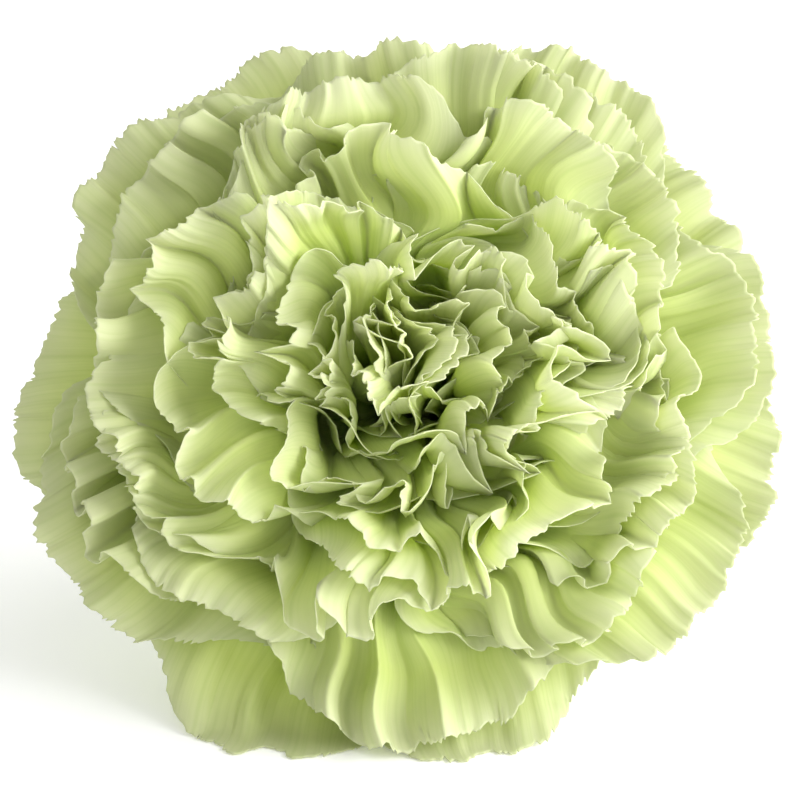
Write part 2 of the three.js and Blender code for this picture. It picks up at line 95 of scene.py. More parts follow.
MIDRIB_HANDLES = (0.3, 0.4)  # handles of the middle line's curve, as shares of its length
TIGHTEST_BEND = 3  # smallest radius that a petal bends round

# How far a petal's own values lie at random from its row's values: degrees, or a share of the value.
SPREAD = {
    "turn": 10,
    "rim_turn": 3,
    "growth": 0.045,
    "width": 0.12,
    "lean": 11,
    "waves": 0.2,
    "depth": 0.4,
    "swing": 0.7,
    "sharpness": 0.25,
    "skew": 1.4,
    "twist": 10,
    "side_lean": 8,
}

# The crowding of the petals: one smooth field of gentle swirls that bends all of them together.
SWIRLS = 18
SWIRL_SIZE = (7, 16)  # shortest and longest wave length
SWIRL_FLATNESS = 0.6  # how much of their headings' slope along the bloom's axis is left
SWIRL_PUSH = 12  # a wave's length over its push
SWIRL_DEPTH = 1.9
SWIRL_STEPS = 5
SWIRL_SEED = 7
SWIRL_ONSET = (5, 16)  # distances from the calyx mouth between which they set in
SWIRL_RISE = (3, 10)  # heights between which they set in, near the bloom's axis
SWIRL_RISE_SHARE = 0.35  # and how much lower they do, for each millimetre from the axis
GUARD_CALM = 0.75  # share by which the swirls fade in the outer petals
GUARD_SPAN = (22, 34)  # distances from the bloom's axis between which they fade
FLOOR_BEND = 2.2  # radius of the bend where a petal meets the table
FLOOR_CLEARANCE = 0.2

# ---- The calyx, the bracts, the stem and the leaves: the same values as in the construction model ----
CALYX_PROFILE = ((4.9, -27), (6.3, -21), (7.4, -6), (8.2, 0.8))  # radius and height from the foot up
CALYX_TEETH = 5
CALYX_TOOTH_DEPTH = 6.2
COLLAR_FOOT = (4.95, -30.6)
BRACT_TIP = -14.8
BRACT_STANDOFF = 1  # from the calyx's surface to the bracts' outer surface
FIT_GAP = 0.3  # clearance between pieces that touch
STEM_RADIUS = 2.4
RECEPTACLE_RADIUS = 4.7
RECEPTACLE_TOP = CALYX_PROFILE[0][1] - FIT_GAP
RECEPTACLE_FLARE = 9  # length over which the stem widens to the receptacle
FLARE_POWER = 1.5
NODE_AT = 0.62  # place of the swollen node along the stem
NODE_RADIUS = 3.3
NODE_LENGTH = 3.6
STEM_REACH = 101  # from the calyx mouth to the cut end, along the table
STEM_FLAT = 0.05  # depth of the flat that it rests on
STEM_SWAY = 3  # how far it bows sideways where it lies
CUT_SLANT = 1.8
LEAF_LENGTH = 34
LEAF_HALF_WIDTH = 2.1
LEAF_TURN = (16, 75)  # degrees from the stem, at the root and at the tip
LEAF_RISE = (24, -14)  # degrees above the table
LEAF_ROOT = (1.2, 1.5, 0.6)  # from the node's centre: sideways, towards the cut end, and up

# ---- Petals that only the looks have ----
FILLER_START = 70  # degrees at which the first of them stands
FILLER_SPAN = (0.36, 0.8)  # the filler petals' outermost and innermost place in the bloom
SHORT_SPAN = (0.5, 0.98)  # the same for the short petals
HEART_SPAN = (0.9, 1)  # the same for the heart petals
SHORT_SHARE = (0.85, 0.94)  # size of the outermost and the innermost short petal, as a share of a full one's
HEART_TURN = 8  # degrees that the heart's seam leans from upright
HEART_REACH = (5, 0.5)  # how far the outermost and the innermost heart petal stand from the bloom's axis
HEART_VALUES = {"half_width": 6.5, "flatness": 16, "waves": 1.3, "swing": 0}
HEART_CALM = 0.35  # share of their folds that is left

# ---- Fine detail of the petals ----
MARGIN_CRIMP = (0.2, 0.4, 0.45)  # height of the small ruffles along the margin, from rim to heart
RUFFLE_SHARES = (0.45, 0.3)  # shares of that height that the slow and the quick ruffles have
RUFFLE_PACE = (2.9, 5.3)  # how many of the slow and the quick ruffles go to a fold
RUFFLE_GROWTH = 7  # power by which the ruffles grow towards the margin
PLEAT_HEIGHT = (0.13, 0.04, 0.03)  # height of the fine pleats that fan out, from rim to heart
PLEAT_PITCH = 2.4  # from one pleat to the next
PLEAT_DRIFT, PLEAT_DRIFT_PACE = 2, 5  # how far the pleats stray, and how fast that changes
PLEAT_GROWTH = 3  # power by which the pleats grow towards the margin
TOOTH_PITCH = 0.75  # from one tooth of the margin to the next
TOOTH_DEPTH = (0.08, 0.42)  # shallowest notch, and how much deeper the deepest is
TOOTH_JITTER = 0.1  # how far the teeth's tips differ in length
TOOTH_WANDER = (0.7, 0.3)  # the margin's slow wandering: what lasts of it to the next tooth, and the step
TOOTH_UNEVENNESS = 0.55  # how far their widths differ, as a share
TOOTH_FORMS = ((0.3, 1.0, 0.6), (0.7, 1.0, 0.2), (0.5, 0.8, 1.0))  # a notch's depth at three steps across it
TOOTH_COLUMNS = 1 + len(TOOTH_FORMS[0])  # columns of the petal's grid to a tooth: its tip and its notch
TOOTH_START = 0.92  # where along the petal the teeth set in
TOOTH_SEED = 99
PETAL_ROWS = 34
ROW_CROWDING = 1.35  # power by which the rows crowd towards the margin
CLAW_ROWS = 3
CLAW_DEPTH = 9  # how far the claws are followed down inside the calyx
CLAW_TAPER = 0.25  # share by which they narrow on the way
CLAW_PLACE = 0.2  # how far the claw's foot lies below the calyx mouth in the petal's place attribute

# ---- Fine detail of the green pieces ----
SURFACE_INSET = 0.1  # how far the calyx and the bracts lie inside the construction model's surface
CALYX_GRID = (48, 240)  # rows and columns
CALYX_SEED = 3
CALYX_TIP_INSET = 0.5  # how far the teeth's tips stay below the construction model's
CALYX_TIP_VARIETY = 0.5  # how far they differ in height
CALYX_TOOTH_POWER = 1.35  # power of the notches' sides: 1 is straight
CALYX_TIP_CURL = 0.25  # how far the teeth's edge leans in
CALYX_CURL_SPAN = (0.9, 1)  # places along the calyx, from 0 to 1, between which this sets in
CALYX_RIBS = 35
CALYX_RIB_HEIGHT = 0.06
CALYX_RIB_SPAN = (0, 0.2)
CALYX_BULGES = 3
CALYX_BULGE_HEIGHT = 0.12
CALYX_BULGE_SPAN = (0.1, 0.6)
BRACTS = 4
BRACT_GRID = (44, 60)
BRACT_HALF_ANGLE = 62  # degrees round the calyx, from a bract's middle to its edge
BRACT_INNER_DROP = 0.9  # how far the inner pair's tips stay below the outer pair's
BRACT_INNER_INSET = (0.4, 0.3)  # how far the inner pair lies under the outer, on the calyx and at the foot
BRACT_EDGE_DROP = 0.06  # how far a bract's side edges stay below its middle, as a share
BRACT_SHOULDER = 0.28  # share of its length over which it widens from the foot
BRACT_SHAPE = (2.4, 0.75)  # powers of its outline, which is blunt and comes to a point
BRACT_NARROWING = 0.35  # share by which its upper part narrows further
BRACT_NARROW_SPAN = (0.55, 1)  # places along the bract between which this sets in
BRACT_TIP_ANGLE = 0.01  # half of its turn round the calyx that is left at the tip, in radians
BRACT_TIP_CURL = 0.25
BRACT_CURL_SPAN = (0.8, 1)
BRACT_NERVES = 32  # how close its nerves stand
BRACT_NERVE_HEIGHT = 0.05
BRACT_NERVE_SPAN = (0.1, 0.4)
BRACT_WAVE, BRACT_WAVE_PACE = 0.1, 5  # height and pace of the slow wave of its edges
SEPAL_STREAKS = 7  # radius that the streaks' spacing on the calyx and the bracts is worked out for
BRACT_SHIFT, LEAF_SHIFT = 40, 20  # what sets the streaks of one bract or leaf apart from the next's
STEM_COLUMNS = 48
STEM_ROWS = 170
STEM_TOP = (0.02, 0.5, 0.97)  # shares of the radius at which rings close its top
STEM_CUT = (0.97, 0.9, 0.6, 0.3, 0.02)  # and its cut end
STEM_CLEARANCE = 0.02  # how far it stays above the table
SHEATH_STEP = 0.3  # height of the step where the leaves' sheath ends on the node
SHEATH_EDGE = 0.25  # half of the length over which it steps down
SHEATH_LENGTH = 2.5  # length past the step over which the stem regains its radius
RIDGES = (8, 3)  # fine and broad ridges round the stem
RIDGE_SHARE = (0.012, 0.006)  # their heights, as a share of its radius
RIDGE_TWIST = (2, 9)  # how far they turn along it, in radians
LEAF_GRID = (70, 17)
LEAF_TAPER = 2.2  # power of the leaf's taper to its tip
LEAF_SHEATH = 0.3  # how much wider its half is at the root
LEAF_TIP = 0.05  # half of the width that is left at the tip
LEAF_CHANNEL = 0.45  # how far its edges rise over its middle, as a share of its half width
LEAF_CHANNEL_POWER = 1.6
LEAF_NERVES = 9
LEAF_NERVE_HEIGHT = 0.03

# ---- Materials ----
VEIN_SCALE = (50, 1.3)  # the veins' noise: how often it changes across a petal and along it
VEIN_SPAN = (0.45, 0.7)  # values of that noise between which the veins set in
BLOTCH_SCALE = (4, 2.2)  # the same for the broad, faint unevenness of the colour
BLOTCH_SPAN = (0.35, 0.75)
GUARD_TINT_SPAN = (0.6, 0.1)  # places in the bloom between which the guard tint sets in
DEPTH_STOP, BLADE_STOP, MARGIN_STOP = 0.45, 0.8, 1  # where along a petal its three colours are pure
PETAL_TRANSLUCENCE = 0.5  # share of the light that goes through
STREAK_SCALE = (2.6, 0.16)  # the green pieces' streaks, across and lengthwise, per millimetre
STREAK_SPAN = (0.28, 0.58)
WAX_SCALE = 160  # the wax's clouds, per metre
WAX_SPAN = (0.3, 0.65)
WAX_FADE, WAX_WHITE = 0.78, 0.13  # the waxy colour: this share of the green, with this much white
STREAK_SHADE = 0.8  # how dark a streak is, as a share of the green
NOISE_DETAIL = 3
CALYX_EDGE_SPAN = (0.9, 1)  # where along a tooth, a bract or a leaf its dry edge sets in
BRACT_EDGE_SPAN = (0.86, 1)
LEAF_EDGE_SPAN = (0.94, 1)
CUT_SPAN = (0.97, 0.9)  # shares of the stem's radius between which its cut end shows

# ---- The stage, in metres ----
FLOOR_WIDTH = 20
KEY_PLACE = (0.7, -0.2, 0.3)
KEY_HEIGHT_SHARE = 0.58  # the key light's height, as a share of its width
VIEW_CENTRE = (Vector(HEAD_PLACE) + Vector((-0.3, -4, 3.1))) * MM  # the middle of the bloom's face


# ---- Small helpers ----
class Draws:
    """Seeded random numbers, the same ones as in the construction model."""

    def __init__(self, seed):
        self.state = seed & 0xFFFFFFFF

    def draw(self):
        self.state = (self.state * 1664525 + 1013904223) & 0xFFFFFFFF
        return self.state / 2**32

    def spread(self, amount):
        return (self.draw() * 2 - 1) * amount


def along(row, t):
    """A smooth curve through a row's three values, at t from 0 (outermost) to 1 (innermost)."""
    outer, middle, inner = row
    return outer * (1 - t) * (1 - 2 * t) + middle * 4 * t * (1 - t) + inner * t * (2 * t - 1)


def between(ends, share):
    first, last = ends
    return first + (last - first) * share


def smooth(low, high, x):
    x = np.clip((x - low) / (high - low), 0, 1)
    return x * x * (3 - 2 * x)


def head_matrix():
    return Matrix.Translation(HEAD_PLACE) @ Matrix.Rotation(math.radians(90 - HEAD_TILT), 4, "X")


def to_part(points):
    """Points of the head's frame, in the part's frame."""
    head = np.array(head_matrix())
    return points @ head[:3, :3].T + head[:3, 3]


def grid_faces(rows, columns, first, closed):
    """The quads of a grid of points, row by row. A closed grid also joins its last column to its first."""
    index = np.arange(rows * columns).reshape(rows, columns) + first
    if closed:
        index = np.concatenate([index, index[:, :1]], 1)
    return np.stack([index[:-1, :-1], index[:-1, 1:], index[1:, 1:], index[1:, :-1]], -1).reshape(-1, 4)


def make_piece(name, sheets, node, material, closed=False):
    """A smooth mesh from grids in millimetres, which rides on the body and stands for a CAD node.

    A sheet is one grid: its points, its number of rows and columns, and each point's place on its petal,
    sepal, stem or leaf, for the material."""
    points = np.concatenate([sheet[0] for sheet in sheets])
    places = np.concatenate([sheet[3] for sheet in sheets])
    quads = []
    first = 0
    for sheet, rows, columns, _ in sheets:
        quads.append(grid_faces(rows, columns, first, closed))
        first += len(sheet)
    quads = np.concatenate(quads)
    mesh = bpy.data.meshes.new(name)
    mesh.vertices.add(len(points))
    mesh.vertices.foreach_set("co", (points * MM).astype(np.float32).ravel())
    mesh.loops.add(quads.size)
    mesh.loops.foreach_set("vertex_index", quads.astype(np.int32).ravel())
    mesh.polygons.add(len(quads))
    mesh.polygons.foreach_set("loop_start", np.arange(0, quads.size, 4, dtype=np.int32))
    mesh.update(calc_edges=True)
    mesh.polygons.foreach_set("use_smooth", np.ones(len(quads), bool))
    attribute = mesh.attributes.new("place", "FLOAT_VECTOR", "POINT")
    attribute.data.foreach_set("vector", places.astype(np.float32).ravel())
    mesh.materials.append(material)
    piece = bpy.data.objects.new(name, mesh)
    bpy.context.scene.collection.objects.link(piece)
    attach(piece, BODY)
    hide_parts(node)
    return piece


def thicken(piece, thickness, offset=0):
    solidify = piece.modifiers.new("thickness", "SOLIDIFY")
    solidify.thickness = thickness
    solidify.offset = offset
    return piece


# ---- Petals ----
def petal_plan(t, angle, turn_spread, draws):
    """What makes one petal differ from the next: its place t, its angle round the bloom, and its draws."""
    turn = math.radians(angle + draws.spread(turn_spread))
    grow = 1 + draws.spread(SPREAD["growth"])
    return {
        "t": t,
        "azimuth": turn - HEART_SEAM * smooth(*SEAM_SPAN, t) * math.sin(2 * turn) / 2,
        "base": along(BASE_RADIUS, t),
        "reach": along(REACH, t) * grow,
        "rise": along(RISE, t) * grow,
        "half_width": along(HALF_WIDTH, t) * (1 + draws.spread(SPREAD["width"])),
        "start_lean": math.radians(along(START_LEAN, t)),
        "end_lean": math.radians(along(END_LEAN, t) + draws.spread(SPREAD["lean"])),
        "flare": math.radians(along(MARGIN_FLARE, t)),
        "rounding": along(MARGIN_ROUNDING, t),
        "waves": along(WAVES, t) * (1 + draws.spread(SPREAD["waves"])),
        "wave_depth": along(WAVE_DEPTH, t) * (1 + draws.spread(SPREAD["depth"])),
        "phase": draws.draw() * 2 * math.pi,
        "swing": along(WAVE_SWING, t) * (1 + draws.spread(SPREAD["swing"])),
        "drift": draws.draw() * 2 * math.pi,
        "sharpness": along(SHARPNESS, t) * (1 + draws.spread(SPREAD["sharpness"])),
        "side": -1 if draws.draw() < OUTWARD_SHARE else 1,
        "skew": draws.spread(SPREAD["skew"]),
        "twist": math.radians(draws.spread(SPREAD["twist"])),
        "side_lean": math.radians(draws.spread(SPREAD["side_lean"])),
        "flatness": along(FLATNESS, t),
        "crimp": along(MARGIN_CRIMP, t),
        "pleat": along(PLEAT_HEIGHT, t),
    }


def rim_angle(k):
    """The angle of petal k of the two rings at the rim. The second ring's stand between the first's."""
    lobes = len(RIM_TURNS)
    lobe = (RIM_START + RIM_SKIP * k) % lobes
    after = RIM_TURNS[(lobe + 1) % lobes] + (360 if lobe + 1 == lobes else 0)
    return RIM_TURNS[lobe] if k < lobes else (RIM_TURNS[lobe] + after) / 2


def petal_plans(count, seed):
    """The petals of the construction model: two rings at the rim, then a spiral to the heart."""
    draws = Draws(seed)
    plans = []
    for k in range(count):
        in_rim = k < 2 * len(RIM_TURNS)
        angle = rim_angle(k) if in_rim else k * GOLDEN_ANGLE
        plans.append(petal_plan((k + 0.5) / count, angle, SPREAD["rim_turn" if in_rim else "turn"], draws))
    return plans


def filler_plans(count, seed, span):
    """More petals of the same kinds, which stand between the others within a span of the bloom."""
    draws = Draws(seed)
    plans = []
    for k in range(count):
        angle = k * GOLDEN_ANGLE + FILLER_START
        plans.append(petal_plan(between(span, (k + 0.5) / count), angle, SPREAD["turn"], draws))
    return plans


def short_plans(count, seed):
    """Short petals that fill the hollows between the others from below."""
    plans = filler_plans(count, seed, SHORT_SPAN)
    for petal, share in zip(plans, np.linspace(*SHORT_SHARE, count)):
        petal["rise"] *= share
        petal["reach"] *= share
        petal["wave_depth"] *= share
    return plans


def heart_plans(count, seed):
    """Small folded petals that stand side by side across the bloom's axis and close its heart."""
    plans = filler_plans(count, seed, HEART_SPAN)
    for k, petal in enumerate(plans):
        side = 1 if k % 2 else -1
        petal["azimuth"] = math.radians(HEART_TURN + 90 + side * 90) + petal["twist"]
        petal["reach"] = between(HEART_REACH, k / count)
        petal["wave_depth"] *= HEART_CALM
        petal.update(HEART_VALUES)
    return plans


def petal_length(petal):
    return math.hypot(petal["reach"] - petal["base"], petal["rise"])


def midrib(petal, v):
    """The petal's middle line, at v from 0 at the calyx mouth to 1 at the margin: one cubic curve.

    Gives its distance from the bloom's axis, its height and its lean."""
    length = petal_length(petal)
    first, last = (share * length for share in MIDRIB_HANDLES)
    start, end = petal["start_lean"], petal["end_lean"]
    outs = (
        petal["base"],
        petal["base"] + first * math.sin(start),
        petal["reach"] - last * math.sin(end),
        petal["reach"],
    )
    ups = (0, first * math.cos(start), petal["rise"] - last * math.cos(end), petal["rise"])
    w = 1 - v

    def place(p):
        return w**3 * p[0] + 3 * w * w * v * p[1] + 3 * w * v * v * p[2] + v**3 * p[3]

    def slope(p):
        return w * w * (p[1] - p[0]) + 2 * w * v * (p[2] - p[1]) + v * v * (p[3] - p[2])

    return place(outs), place(ups), np.arctan2(slope(outs), slope(ups))


def fine_relief(petal, u, v, fold):
    """Height of the small ruffles and the fine pleats, which both grow towards the margin."""
    phase, drift = petal["phase"], petal["drift"]
    (slow, quick), (slow_pace, quick_pace) = RUFFLE_SHARES, RUFFLE_PACE
    ruffle = slow * np.sin(slow_pace * fold + 3 * drift) + quick * np.sin(quick_pace * fold + 2 * phase)
    stray = PLEAT_DRIFT * np.sin(PLEAT_DRIFT_PACE * u + drift)
    pleat = np.sin(2 * math.pi / PLEAT_PITCH * petal["half_width"] * u + stray)
    return petal["crimp"] * v**RUFFLE_GROWTH * ruffle + petal["pleat"] * v**PLEAT_GROWTH * pleat


def petal_points(petal, u, v, tooth):
    """Points of the petal's middle surface in the head's frame.

    u runs from -1 to 1 across it, v from the calyx mouth to the margin; tooth is the margin's own reach."""
    phase, drift = petal["phase"], petal["drift"]
    half_width = petal["half_width"]
    (slow, quick), (slow_pace, quick_pace) = FOLD_DRIFT, DRIFT_PACE
    uneven = u + slow * np.sin(slow_pace * u + drift) + quick * np.sin(quick_pace * u + phase)
    fold = math.pi * petal["waves"] * uneven + phase + petal["skew"] * (v - 1)
    size = FOLD_SIZE + FOLD_VARIETY * np.sin(VARIETY_PACE * u + drift + phase)
    grown = v**FOLD_GROWTH * size
    fan = between(FAN_WIDTH, np.sin(math.pi / 2 * v**FAN_GROWTH))
    swing = petal["swing"] * SWING_LIMIT * half_width * np.sin(2 * fold) / petal["waves"]
    crest = 1 - 2 * np.abs(np.sin(fold / 2)) ** petal["sharpness"]
    side = u * half_width * fan + grown * swing
    lift = petal["side"] * grown * petal["wave_depth"] * crest + fine_relief(petal, u, v, fold)
    reach = v * (1 - petal["rounding"] * np.abs(u) ** CORNER_POWER * v * v)
    out, up, slope = midrib(petal, reach + tooth / petal_length(petal) * smooth(TOOTH_START, 1, v))
    lean = slope + petal["flare"] * smooth(FLARE_START, 1, v)
    # The blade turns about its middle line, and bends round the bloom's axis.
    twist, flatness = petal["twist"], petal["flatness"]
    across = side * math.cos(twist) - lift * math.sin(twist)
    inward = side * math.sin(twist) * v + lift * math.cos(twist)
    bend = out - np.cos(lean) * inward + flatness
    turn = across / np.maximum(bend, TIGHTEST_BEND) + petal["side_lean"] * v
    x = bend * np.cos(turn) - flatness
    y = bend * np.sin(turn)
    cos, sin = math.cos(petal["azimuth"]), math.sin(petal["azimuth"])
    return np.stack([x * cos - y * sin, x * sin + y * cos, up + np.sin(lean) * inward], -1)


def make_swirls():
    """The swirls: waves that each push the petals sideways to their own direction."""
    draws = Draws(SWIRL_SEED)
    short, long = SWIRL_SIZE
    swirls = []
    for _ in range(SWIRLS):
        z = draws.spread(1)
        turn = draws.draw() * 2 * math.pi
        flat = math.sqrt(1 - z * z)
        heading = Vector((flat * math.cos(turn), flat * math.sin(turn), SWIRL_FLATNESS * z)).normalized()
        length = short * (long / short) ** draws.draw()
        push = Vector([draws.spread(1) for _ in range(3)])
        push = (push - heading * push.dot(heading)).normalized() * length / SWIRL_PUSH
        swirls.append((np.array(heading) * 2 * math.pi / length, np.array(push), draws.draw() * 2 * math.pi))
    return swirls


def stir(points):
    """Carries points of the bloom along the swirls in small steps, which pushes no petal through another."""
    swirls = make_swirls()
    depth = SWIRL_DEPTH * math.sqrt(2 / SWIRLS)
    points = points.copy()
    for _ in range(SWIRL_STEPS):
        radius = np.hypot(points[:, 0], points[:, 1])
        reach = np.hypot(radius, np.maximum(points[:, 2], 0))
        free = smooth(*SWIRL_ONSET, reach) * smooth(*SWIRL_RISE, points[:, 2] + SWIRL_RISE_SHARE * radius)
        share = depth * free * (1 - GUARD_CALM * smooth(*GUARD_SPAN, radius)) / SWIRL_STEPS
        shift = sum(np.sin(points @ wave + start)[:, None] * push for wave, push, start in swirls)
        points += shift * share[:, None]
    return points


def rest_on_table(points):
    """Where a petal comes down to the table it bends forward and lies along it."""
    low = np.maximum(FLOOR_BEND - points[:, 2], 0)
    angle = np.minimum(low / FLOOR_BEND, math.pi / 2)
    beyond = np.maximum(low - FLOOR_BEND * math.pi / 2, 0)
    points = points.copy()
    points[:, 1] -= FLOOR_BEND * (1 - np.cos(angle)) + beyond
    lying = FLOOR_BEND * (1 - np.sin(angle)) + FLOOR_CLEARANCE
    points[:, 2] = np.where(low > 0, lying, points[:, 2])
    return points


def margin_teeth(teeth, draws):
    """Each column's place across the petal, and how far the margin reaches there.

    The teeth are pointed, and uneven in width and length."""
    reach = np.zeros(TOOTH_COLUMNS * teeth + 1)
    widths = np.zeros(teeth)
    shallow, deeper = TOOTH_DEPTH
    lasting, step = TOOTH_WANDER
    wander = 0
    for j in range(teeth):
        depth = shallow + deeper * draws.draw() ** 2
        form = TOOTH_FORMS[int(draws.draw() * len(TOOTH_FORMS))]
        tip = wander + draws.spread(TOOTH_JITTER)
        reach[TOOTH_COLUMNS * j:TOOTH_COLUMNS * (j + 1)] = tip - depth * np.array((0, *form))
        widths[j] = 1 + draws.spread(TOOTH_UNEVENNESS)
        wander = lasting * wander + draws.spread(step)
    tips = np.concatenate([[0], np.cumsum(widths)]) / widths.sum()
    u = np.interp(np.arange(len(reach)) / TOOTH_COLUMNS, np.arange(teeth + 1), 2 * tips - 1)
    return u, reach


def petal_sheet(petal, draws):
    """One petal as a sheet for make_piece."""
    columns, line = margin_teeth(round(2 * petal["half_width"] / TOOTH_PITCH), draws)
    v = 1 - (1 - np.linspace(0, 1, PETAL_ROWS)) ** ROW_CROWDING
    grid_u, grid_v = np.meshgrid(columns, v)
    tooth = np.broadcast_to(line, grid_u.shape)
    u, v = grid_u.ravel(), grid_v.ravel()
    blade = stir(petal_points(petal, u, v, tooth.ravel()))
    # The claw runs straight down inside the calyx.
    mouth = blade[:len(line)]
    steps = np.linspace(1, 0, CLAW_ROWS, endpoint=False)
    tapers = 1 - CLAW_TAPER * steps
    claw = [mouth * (taper, taper, 1) - (0, 0, CLAW_DEPTH * step) for taper, step in zip(tapers, steps)]
    points = rest_on_table(to_part(np.concatenate([*claw, blade])))
    across = np.concatenate([np.tile(columns, CLAW_ROWS), u])
    lengthwise = np.concatenate([np.repeat(-CLAW_PLACE * steps, len(line)), v])
    places = np.stack([across, lengthwise, np.full(len(points), petal["t"])], -1)
    return points, PETAL_ROWS + CLAW_ROWS, len(line), places


def petal_piece(name, petals, thickness, material):
    """A group of petals as one piece."""
    draws = Draws(TOOTH_SEED)
    sheets = [petal_sheet(petal, draws) for petal in petals]
    return thicken(make_piece(name, sheets, "bloom", material), thickness)


def petal_material(settings):
    """Matt, thin and lit through: green with fine veins, and pale along the toothed margin, which is partly
    the margin's own paler colour and partly a painted highlight where the thin edge catches the light.
    """
    material, nodes, links, shader = new_material("petal")
    place = attribute_place(nodes, links)
    veins = streak_noise(nodes, links, place, *VEIN_SCALE)
    blotches = streak_noise(nodes, links, place, *BLOTCH_SCALE)
    ramp = nodes.new("ShaderNodeValToRGB")
    stops = ramp.color_ramp.elements
    stops[0].position, stops[0].color = DEPTH_STOP, (*settings.depth_color, 1)
    # The margin colour is partly the petal's own paler margin and partly a painted highlight where the thin
    # edge catches the light.
    stops[1].position, stops[1].color = MARGIN_STOP, (*settings.margin_and_highlight_color, 1)
    stops.new(BLADE_STOP).color = (*settings.blade_color, 1)
    links.new(place.outputs["Y"], ramp.inputs["Fac"])
    # The guard petals are a shade deeper than the others.
    color = ramp.outputs["Color"]
    color = tint(nodes, links, color, settings.guard_tint, place.outputs["Z"], GUARD_TINT_SPAN)
    color = tint(nodes, links, color, settings.vein_tint, veins.outputs["Fac"], VEIN_SPAN)
    color = tint(nodes, links, color, settings.vein_tint, blotches.outputs["Fac"], BLOTCH_SPAN)
    links.new(color, shader.inputs["Base Color"])
    bump = add_bump(nodes, links, veins, strength=0.5, distance=0.06 * MM)
    links.new(bump, shader.inputs["Normal"])
    set_inputs(shader, {"Roughness": 0.6, "Specular IOR Level": 0.25})
    set_inputs(shader, {"Sheen Weight": 0.08, "Sheen Roughness": 0.4})
    through = nodes.new("ShaderNodeBsdfTranslucent")
    links.new(color, through.inputs["Color"])
    links.new(bump, through.inputs["Normal"])
    mix = nodes.new("ShaderNodeMixShader")
    mix.inputs["Fac"].default_value = PETAL_TRANSLUCENCE
    links.new(shader.outputs["BSDF"], mix.inputs[1])
    links.new(through.outputs["BSDF"], mix.inputs[2])
    links.new(mix.outputs["Shader"], nodes["Material Output"].inputs["Surface"])
    return material


# ---- The calyx and the bracts ----
def calyx_radius(z):
    radii, heights = zip(*CALYX_PROFILE)
    return np.interp(z, heights, radii)


def round_axis(radius, turn, z):
    """Points given by their radius, turn and height about the bloom's axis, in the part's frame."""
    return to_part(np.stack([radius * np.cos(turn), radius * np.sin(turn), z], -1).reshape(-1, 3))


def calyx_piece(settings):
    """A tube with five pointed teeth and fine ribs."""
    rows, columns = CALYX_GRID
    draws = Draws(CALYX_SEED)
    lengths = np.array([draws.spread(CALYX_TIP_VARIETY) for _ in range(CALYX_TEETH)])
    turn, v = np.meshgrid(np.linspace(0, 2 * math.pi, columns, endpoint=False), np.linspace(0, 1, rows))
    teeth = turn * CALYX_TEETH / (2 * math.pi) + 0.5
    off_centre = 2 * (teeth % 1) - 1
    foot, top = CALYX_PROFILE[0][1], CALYX_PROFILE[-1][1]
    tips = top - CALYX_TIP_INSET + lengths[teeth.astype(int) % CALYX_TEETH] * (1 - np.abs(off_centre))
    edge = tips - CALYX_TOOTH_DEPTH * np.abs(off_centre) ** CALYX_TOOTH_POWER
    z = foot + (edge - foot) * v
    rib = CALYX_RIB_HEIGHT * np.cos(CALYX_RIBS * turn) * smooth(*CALYX_RIB_SPAN, v)
    bulge = CALYX_BULGE_HEIGHT * np.sin(CALYX_BULGES * turn + 1) * smooth(*CALYX_BULGE_SPAN, v)
    radius = calyx_radius(z) - SURFACE_INSET + rib + bulge - CALYX_TIP_CURL * smooth(*CALYX_CURL_SPAN, v)
    points = round_axis(radius, turn, z)
    places = np.stack([turn * SEPAL_STREAKS, z, v], -1).reshape(-1, 3)
    green = green_material("calyx", settings.calyx_color, settings.edge_color, CALYX_EDGE_SPAN)
    sheet = (points, rows, columns, places)
    piece = make_piece("calyx_tube", [sheet], "calyx", green, closed=True)
    return thicken(piece, settings.sepal_thickness, offset=-1)


def bracts_piece(settings):
    """Two pairs of broad pointed scales, the inner pair under the edges of the outer."""
    rows, columns = BRACT_GRID
    half_angle = math.radians(BRACT_HALF_ANGLE)
    blunt, point = BRACT_SHAPE
    u, v = np.meshgrid(np.linspace(-1, 1, columns), np.linspace(0, 1, rows))
    sheets = []
    for k in range(BRACTS):
        inner = 1 - k % 2
        tip = BRACT_TIP - BRACT_INNER_DROP * inner
        z = COLLAR_FOOT[1] + (tip - COLLAR_FOOT[1]) * v * (1 - BRACT_EDGE_DROP * u * u)
        body = calyx_radius(z) + BRACT_STANDOFF - SURFACE_INSET - BRACT_INNER_INSET[0] * inner
        foot = COLLAR_FOOT[0] - SURFACE_INSET - BRACT_INNER_INSET[1] * inner
        radius = foot + (body - foot) * smooth(0, BRACT_SHOULDER, v)
        radius = radius - BRACT_TIP_CURL * smooth(*BRACT_CURL_SPAN, v)
        narrowing = 1 - BRACT_NARROWING * smooth(*BRACT_NARROW_SPAN, v)
        width = half_angle * (1 - v**blunt) ** point * narrowing + BRACT_TIP_ANGLE
        turn = u * width + 2 * math.pi * (k + 0.5) / BRACTS
        nerves = BRACT_NERVE_HEIGHT * np.cos(u * width * BRACT_NERVES) * smooth(*BRACT_NERVE_SPAN, v)
        radius = radius + nerves + BRACT_WAVE * np.sin(BRACT_WAVE_PACE * v + k) * u * u
        places = np.stack([u * width * SEPAL_STREAKS + BRACT_SHIFT * k, z, v], -1).reshape(-1, 3)
        sheets.append((round_axis(radius, turn, z), rows, columns, places))
    green = green_material("bract", settings.bract_color, settings.edge_color, BRACT_EDGE_SPAN)
    piece = make_piece("bracts", sheets, "epicalyx", green)
    return thicken(piece, settings.sepal_thickness, offset=-1)


